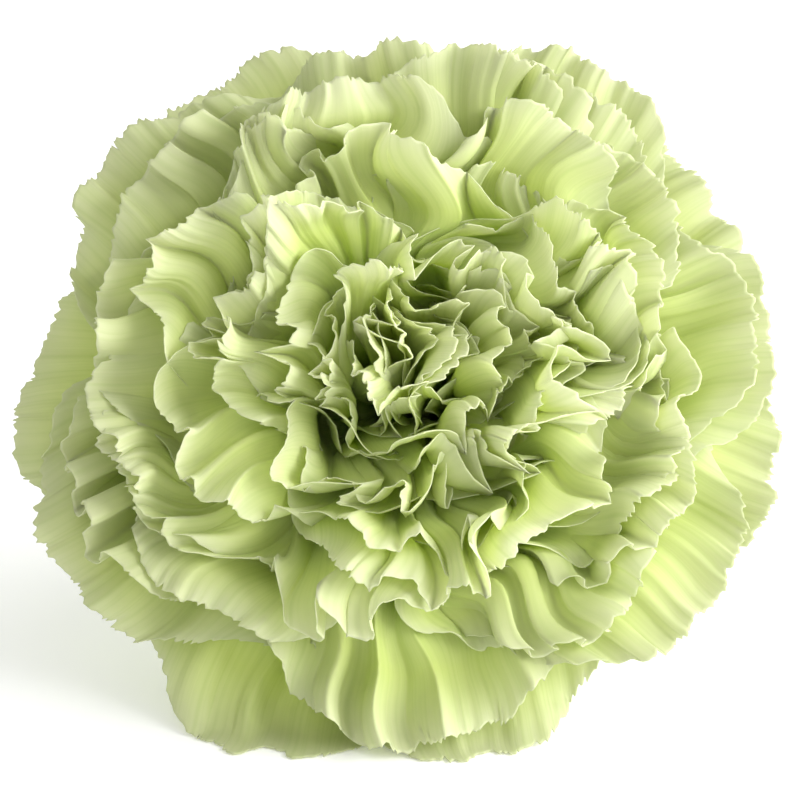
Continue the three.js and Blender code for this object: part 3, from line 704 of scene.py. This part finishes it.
# ---- The stem and its leaves ----
class StemLine:
    """The stem's middle line: from the calyx's foot it curves down to the table, then lies along it."""

    def __init__(self):
        self.lean = math.radians(HEAD_TILT)
        self.start = head_matrix() @ Vector((0, 0, RECEPTACLE_TOP))
        self.height = STEM_RADIUS - STEM_FLAT
        self.bend = (self.start.z - self.height) / (1 - math.cos(self.lean))
        self.bend_length = self.bend * self.lean
        self.landing = self.start.y + self.bend * math.sin(self.lean)
        self.end = HEAD_PLACE[1] + STEM_REACH
        self.total = self.bend_length + self.end - self.landing

    def point(self, t):
        s = t * self.total
        if s < self.bend_length:
            slope = self.lean * (1 - s / self.bend_length)
            y = self.landing - self.bend * math.sin(slope)
            return Vector((self.start.x, y, self.height + self.bend * (1 - math.cos(slope))))
        run = (s - self.bend_length) / (self.total - self.bend_length)
        sway = STEM_SWAY * math.sin(math.pi * run) ** 2
        return Vector((self.start.x + sway, self.landing + run * (self.end - self.landing), self.height))

    def radius(self, t):
        """It widens to the receptacle at its top and to the swollen node lower down."""
        top = max(1 - t * self.total / RECEPTACLE_FLARE, 0) ** FLARE_POWER
        node = math.exp(-((2 * (t - NODE_AT) * self.total / NODE_LENGTH) ** 2))
        return STEM_RADIUS + top * (RECEPTACLE_RADIUS - STEM_RADIUS) + node * (NODE_RADIUS - STEM_RADIUS)


def stem_piece(settings):
    """A round stem with faint ridges, a swollen node with its sheath line, and a slanting cut end."""
    line = StemLine()
    top = [(0, share) for share in STEM_TOP]
    cut = [(1, share) for share in STEM_CUT]
    stops = top + [(t, 1) for t in np.linspace(0, 1, STEM_ROWS)] + cut
    turn = np.linspace(0, 2 * math.pi, STEM_COLUMNS, endpoint=False)
    ones = np.ones(STEM_COLUMNS)
    (fine, broad), (fine_height, broad_height), (fine_twist, broad_twist) = RIDGES, RIDGE_SHARE, RIDGE_TWIST
    up = Vector((0, 0, 1))
    near = 0.001  # how far along the stem, to each side of a point, its direction is taken
    points, places = [], []
    for t, share in stops:
        ahead = (line.point(min(t + near, 1)) - line.point(max(t - near, 0))).normalized()
        sideways = up.cross(ahead).normalized()
        upright = ahead.cross(sideways)
        past_node = (t - NODE_AT) * line.total
        sheath = -SHEATH_STEP * smooth(-1, 1, past_node / SHEATH_EDGE)
        sheath = sheath * smooth(1, 0, past_node / SHEATH_LENGTH)
        ridge = 1 + fine_height * np.cos(fine * turn + fine_twist * t)
        ridge = ridge + broad_height * np.sin(broad * turn + broad_twist * t)
        radius = (line.radius(t) + sheath) * share * ridge
        slant = np.cos(turn) * CUT_SLANT * share * (t == 1)
        ring = np.array(line.point(t)) + np.outer(radius * np.sin(turn), sideways)
        ring = ring + np.outer(radius * np.cos(turn), upright) + np.outer(slant, ahead)
        ring[:, 2] = np.maximum(ring[:, 2], STEM_CLEARANCE)
        points.append(ring)
        places.append(np.stack([turn * STEM_RADIUS, ones * (t * line.total), ones * share], -1))
    sheet = (np.concatenate(points), len(stops), STEM_COLUMNS, np.concatenate(places))
    green = green_material("stem", settings.stem_color, settings.cut_color, CUT_SPAN)
    return make_piece("stem_tube", [sheet], "leafy_stem", green, closed=True)


def leaves_piece(settings):
    """A pair of narrow channelled leaves that clasp the node and curl outwards."""
    rows, columns = LEAF_GRID
    node = np.array(StemLine().point(NODE_AT))
    sideways, back, up = LEAF_ROOT
    u = np.linspace(-1, 1, columns)
    ones = np.ones(columns)
    sheets = []
    for k, side in enumerate((1, -1)):
        centre = node + (side * sideways, back, up)
        points, places = [], []
        for j, v in enumerate(np.linspace(0, 1, rows)):
            turn = math.radians(between(LEAF_TURN, v * v))
            rise = math.radians(between(LEAF_RISE, v))
            ahead = np.array((side * math.sin(turn), -math.cos(turn), math.tan(rise)))
            ahead /= np.linalg.norm(ahead)
            if j:
                centre = centre + ahead * LEAF_LENGTH / (rows - 1)
            across = np.array((math.cos(turn), side * math.sin(turn), 0))
            channel = np.cross(across, ahead)
            width = LEAF_HALF_WIDTH * (1 - v**LEAF_TAPER) + LEAF_SHEATH * (1 - v) + LEAF_TIP
            nerves = LEAF_NERVE_HEIGHT * np.cos(LEAF_NERVES * u * math.pi / 2)
            lift = width * LEAF_CHANNEL * np.abs(u) ** LEAF_CHANNEL_POWER + nerves
            points.append(centre + np.outer(u * width, across) + np.outer(lift, channel))
            places.append(np.stack([u * width + LEAF_SHIFT * k, ones * (v * LEAF_LENGTH), ones * v], -1))
        sheets.append((np.concatenate(points), rows, columns, np.concatenate(places)))
    green = green_material("leaf", settings.leaf_color, settings.edge_color, LEAF_EDGE_SPAN)
    piece = make_piece("leaves", sheets, "leafy_stem", green)
    return thicken(piece, settings.leaf_thickness)


def green_material(name, color, edge_color, edge_span):
    """Waxy green with fine streaks lengthwise, which turns to edge_color over the place's Z."""
    material, nodes, links, shader = new_material(name)
    place = attribute_place(nodes, links)
    streaks = streak_noise(nodes, links, place, *STREAK_SCALE)
    wax = nodes.new("ShaderNodeTexNoise")
    set_inputs(wax, {"Scale": WAX_SCALE, "Detail": NOISE_DETAIL})
    geometry = nodes.new("ShaderNodeNewGeometry")
    links.new(geometry.outputs["Position"], wax.inputs["Vector"])
    waxy = mix_color(nodes, [WAX_FADE * c + WAX_WHITE for c in color], color)
    fade(nodes, links, wax.outputs["Fac"], WAX_SPAN, waxy.inputs["Factor"])
    streaked = mix_color(nodes, [STREAK_SHADE * c for c in color], color)
    links.new(waxy.outputs["Result"], streaked.inputs["B"])
    fade(nodes, links, streaks.outputs["Fac"], STREAK_SPAN, streaked.inputs["Factor"])
    edged = mix_color(nodes, color, edge_color)
    links.new(streaked.outputs["Result"], edged.inputs["A"])
    fade(nodes, links, place.outputs["Z"], edge_span, edged.inputs["Factor"])
    links.new(edged.outputs["Result"], shader.inputs["Base Color"])
    set_inputs(shader, {"Roughness": 0.5})
    links.new(add_bump(nodes, links, streaks, strength=0.35, distance=0.15 * MM), shader.inputs["Normal"])
    return material


# ---- Materials in common ----
def set_inputs(node, values):
    for name, value in values.items():
        node.inputs[name].default_value = value


def streak_noise(nodes, links, place, across, lengthwise):
    """Noise drawn out lengthwise: across and lengthwise are its scales in the two directions."""
    stretched = nodes.new("ShaderNodeCombineXYZ")
    for axis, scale in (("X", across), ("Y", lengthwise)):
        times = nodes.new("ShaderNodeMath")
        times.operation = "MULTIPLY"
        times.inputs[1].default_value = scale
        links.new(place.outputs[axis], times.inputs[0])
        links.new(times.outputs["Value"], stretched.inputs[axis])
    noise = nodes.new("ShaderNodeTexNoise")
    set_inputs(noise, {"Scale": 1, "Detail": NOISE_DETAIL})
    links.new(stretched.outputs["Vector"], noise.inputs["Vector"])
    return noise


def mix_color(nodes, first, second):
    """A mix from one colour to another; either may be replaced by a link."""
    mix = nodes.new("ShaderNodeMix")
    mix.data_type = "RGBA"
    set_inputs(mix, {"A": (*first, 1), "B": (*second, 1)})
    return mix


def tint(nodes, links, color, factor, source, span):
    """The colour multiplied by factor, more and more as source goes through span."""
    mix = mix_color(nodes, factor, factor)
    mix.blend_type = "MULTIPLY"
    links.new(color, mix.inputs["A"])
    fade(nodes, links, source, span, mix.inputs["Factor"])
    return mix.outputs["Result"]


def add_bump(nodes, links, noise, strength, distance):
    """A bump from a noise, as the normal that it gives."""
    bump = nodes.new("ShaderNodeBump")
    set_inputs(bump, {"Strength": strength, "Distance": distance})
    links.new(noise.outputs["Fac"], bump.inputs["Height"])
    return bump.outputs["Normal"]


def fade(nodes, links, source, span, target):
    """Carries a value from source to target, from 0 to 1 over its span."""
    scale = nodes.new("ShaderNodeMapRange")
    scale.inputs["From Min"].default_value, scale.inputs["From Max"].default_value = span
    links.new(source, scale.inputs["Value"])
    links.new(scale.outputs["Result"], target)


def new_material(name):
    material = bpy.data.materials.new(name)
    material.use_nodes = True
    nodes, links = material.node_tree.nodes, material.node_tree.links
    return material, nodes, links, nodes["Principled BSDF"]


def attribute_place(nodes, links):
    """The place attribute, as separate X, Y and Z."""
    attribute = nodes.new("ShaderNodeAttribute")
    attribute.attribute_name = "place"
    split = nodes.new("ShaderNodeSeparateXYZ")
    links.new(attribute.outputs["Vector"], split.inputs["Vector"])
    return split


# ---- Settings ----
def number_setting(name, description, default, low=1):
    return IntProperty(name=name, description=description, default=default, min=low)


def length_setting(name, description, default):
    return FloatProperty(
        name=name, description=description, default=default, unit="LENGTH", precision=5)


def color_setting(name, description, default):
    return FloatVectorProperty(name=name, description=description, default=default, subtype="COLOR")


class CarnationBloomSettings(bpy.types.PropertyGroup):
    petal_count: number_setting("Petals", "Petals of the bloom", 52, low=24)
    seed: number_setting("Seed", "Seed of the petals' random draws", 62)
    filler_count: number_setting("Filler petals", "Petals that crowd the middle", 8)
    filler_seed: number_setting("Filler seed", "Seed of the filler petals' draws", 41)
    short_count: number_setting("Short petals", "Short petals in the hollows", 8)
    short_seed: number_setting("Short seed", "Seed of the short petals' draws", 32)
    heart_count: number_setting("Heart petals", "Petals that close the heart", 6)
    heart_seed: number_setting("Heart seed", "Seed of the heart petals' draws", 17)
    petal_thickness: length_setting("Petal thickness", "Thickness of a petal", 0.09 * MM)
    depth_color: color_setting("Depth", "Petal colour deep in the bloom", (0.8, 0.92, 0.4))
    blade_color: color_setting("Blade", "Petal colour of the open blade", (0.86, 0.93, 0.4))
    # Partly the margin's own paler colour, partly a painted highlight of the thin edge catching the light.
    margin_and_highlight_color: color_setting("Margin", "Petal colour at the toothed margin", (0.88, 0.9, 0.67))
    guard_tint: color_setting(
        "Guard tint", "What the guard petals' colour is multiplied by", (0.84, 0.85, 0.78))
    vein_tint: color_setting(
        "Vein tint", "What the colour is multiplied by along the veins", (0.92, 0.945, 0.86))


class CarnationGreenSettings(bpy.types.PropertyGroup):
    sepal_thickness: length_setting("Sepal thickness", "Thickness of the calyx and the bracts", 0.45 * MM)
    leaf_thickness: length_setting("Leaf thickness", "Thickness of a leaf", 0.7 * MM)
    calyx_color: color_setting("Calyx", "Colour of the calyx tube", (0.2, 0.33, 0.1))
    edge_color: color_setting("Edges", "Colour of the thin dry edges", (0.5, 0.55, 0.3))
    bract_color: color_setting("Bracts", "Colour of the bracts", (0.17, 0.29, 0.1))
    stem_color: color_setting("Stem", "Colour of the stem", (0.2, 0.32, 0.17))
    leaf_color: color_setting("Leaves", "Colour of the leaves", (0.19, 0.31, 0.19))
    cut_color: color_setting("Cut", "Colour of the stem's cut end", (0.6, 0.64, 0.4))


class CarnationStageSettings(bpy.types.PropertyGroup):
    floor_color: color_setting("Floor", "Colour of the pale floor", (0.97, 0.97, 0.97))
    floor_glow: FloatProperty(name="Floor glow", description="Light of the floor itself", default=0.12)
    sky_strength: FloatProperty(name="Sky", description="Strength of the even light all round", default=0.82)
    key_power: FloatProperty(
        name="Key light", description="Power of the soft key light", default=12, unit="POWER")
    key_size: length_setting("Key size", "Width of the key light", 0.92)
    camera_elevation: FloatProperty(
        name="Camera elevation", description="Angle that the camera looks down at", subtype="ANGLE",
        default=math.radians(20))
    camera_distance: length_setting("Camera distance", "From the camera to the bloom", 0.45)
    frame_width: length_setting("Frame width", "Width of the view at the bloom", 79.8 * MM)


# ---- Operators ----
class CARNATION_OT_petals(bpy.types.Operator):
    """Builds the petals of the bloom, from the guard petals to the heart"""

    bl_idname = "carnation.petals"
    bl_label = "Build the petals"

    def execute(self, context):
        settings = context.scene.carnation_bloom
        material = petal_material(settings)
        groups = {
            "petals": petal_plans(settings.petal_count, settings.seed),
            "filler_petals": filler_plans(settings.filler_count, settings.filler_seed, FILLER_SPAN),
            "short_petals": short_plans(settings.short_count, settings.short_seed),
            "heart_petals": heart_plans(settings.heart_count, settings.heart_seed),
        }
        for name, plans in groups.items():
            petal_piece(name, plans, settings.petal_thickness, material)
        return {"FINISHED"}


class CARNATION_OT_calyx(bpy.types.Operator):
    """Builds the toothed calyx tube that holds the petals' claws"""

    bl_idname = "carnation.calyx"
    bl_label = "Build the calyx"

    def execute(self, context):
        calyx_piece(context.scene.carnation_green)
        return {"FINISHED"}


class CARNATION_OT_bracts(bpy.types.Operator):
    """Builds the two pairs of bracts round the calyx's foot"""

    bl_idname = "carnation.bracts"
    bl_label = "Build the bracts"

    def execute(self, context):
        bracts_piece(context.scene.carnation_green)
        return {"FINISHED"}


class CARNATION_OT_stem(bpy.types.Operator):
    """Builds the cut stem with its swollen node"""

    bl_idname = "carnation.stem"
    bl_label = "Build the stem"

    def execute(self, context):
        stem_piece(context.scene.carnation_green)
        return {"FINISHED"}


class CARNATION_OT_leaves(bpy.types.Operator):
    """Builds the pair of leaves at the stem's node"""

    bl_idname = "carnation.leaves"
    bl_label = "Build the leaves"

    def execute(self, context):
        leaves_piece(context.scene.carnation_green)
        return {"FINISHED"}


class CARNATION_OT_stage(bpy.types.Operator):
    """Lays the pale floor, and sets up the soft light and the camera"""

    bl_idname = "carnation.stage"
    bl_label = "Set the stage"

    def execute(self, context):
        settings = context.scene.carnation_stage
        make_floor(settings)
        make_lights(settings)
        make_camera(settings)
        context.scene.view_settings.view_transform = "Standard"
        return {"FINISHED"}


def make_floor(settings):
    bpy.ops.mesh.primitive_plane_add(size=FLOOR_WIDTH)
    floor = bpy.context.object
    floor.name = "floor"
    material, _, _, shader = new_material("floor")
    set_inputs(shader, {"Base Color": (*settings.floor_color, 1), "Roughness": 0.9})
    set_inputs(shader, {"Emission Color": (1, 1, 1, 1), "Emission Strength": settings.floor_glow})
    floor.data.materials.append(material)


def make_lights(settings):
    world = bpy.data.worlds.new("studio")
    world.use_nodes = True
    background = world.node_tree.nodes["Background"]
    set_inputs(background, {"Color": (1, 1, 1, 1), "Strength": settings.sky_strength})
    bpy.context.scene.world = world
    lamp = bpy.data.lights.new("key", "AREA")
    lamp.shape = "RECTANGLE"
    lamp.size = settings.key_size
    lamp.size_y = settings.key_size * KEY_HEIGHT_SHARE
    lamp.energy = settings.key_power
    key = bpy.data.objects.new("key", lamp)
    key.location = KEY_PLACE
    key.visible_camera = False
    key.rotation_euler = (key.location - VIEW_CENTRE).to_track_quat("Z", "Y").to_euler()
    bpy.context.scene.collection.objects.link(key)


def make_camera(settings):
    elevation = settings.camera_elevation
    back = Vector((0, -math.cos(elevation), math.sin(elevation)))
    data = bpy.data.cameras.new("camera")
    data.sensor_width = 36
    data.lens = data.sensor_width * settings.camera_distance / settings.frame_width
    data.clip_end = 20
    camera = bpy.data.objects.new("camera", data)
    camera.location = VIEW_CENTRE + back * settings.camera_distance
    camera.rotation_euler = back.to_track_quat("Z", "Y").to_euler()
    bpy.context.scene.collection.objects.link(camera)
    bpy.context.scene.camera = camera


class CARNATION_PT_parts(bpy.types.Panel):
    bl_idname = "CARNATION_PT_parts"
    bl_label = "Cut Carnation"
    bl_space_type = "VIEW_3D"
    bl_region_type = "UI"
    bl_category = "Carnation"

    def draw(self, context):
        for operator in OPERATORS:
            self.layout.operator(operator.bl_idname)


OPERATORS = (
    CARNATION_OT_stage,
    CARNATION_OT_petals,
    CARNATION_OT_calyx,
    CARNATION_OT_bracts,
    CARNATION_OT_stem,
    CARNATION_OT_leaves,
)
SETTINGS = {
    "carnation_bloom": CarnationBloomSettings,
    "carnation_green": CarnationGreenSettings,
    "carnation_stage": CarnationStageSettings,
}


def register():
    for cls in (*SETTINGS.values(), *OPERATORS, CARNATION_PT_parts):
        bpy.utils.register_class(cls)
    for name, cls in SETTINGS.items():
        setattr(bpy.types.Scene, name, PointerProperty(type=cls))


def unregister():
    for name in SETTINGS:
        delattr(bpy.types.Scene, name)
    for cls in reversed((*SETTINGS.values(), *OPERATORS, CARNATION_PT_parts)):
        bpy.utils.unregister_class(cls)


def main():
    register()
    bpy.ops.carnation.stage()
    bpy.ops.carnation.petals()
    bpy.ops.carnation.calyx()
    bpy.ops.carnation.bracts()
    bpy.ops.carnation.stem()
    bpy.ops.carnation.leaves()


if __name__ == "__main__":
    main()
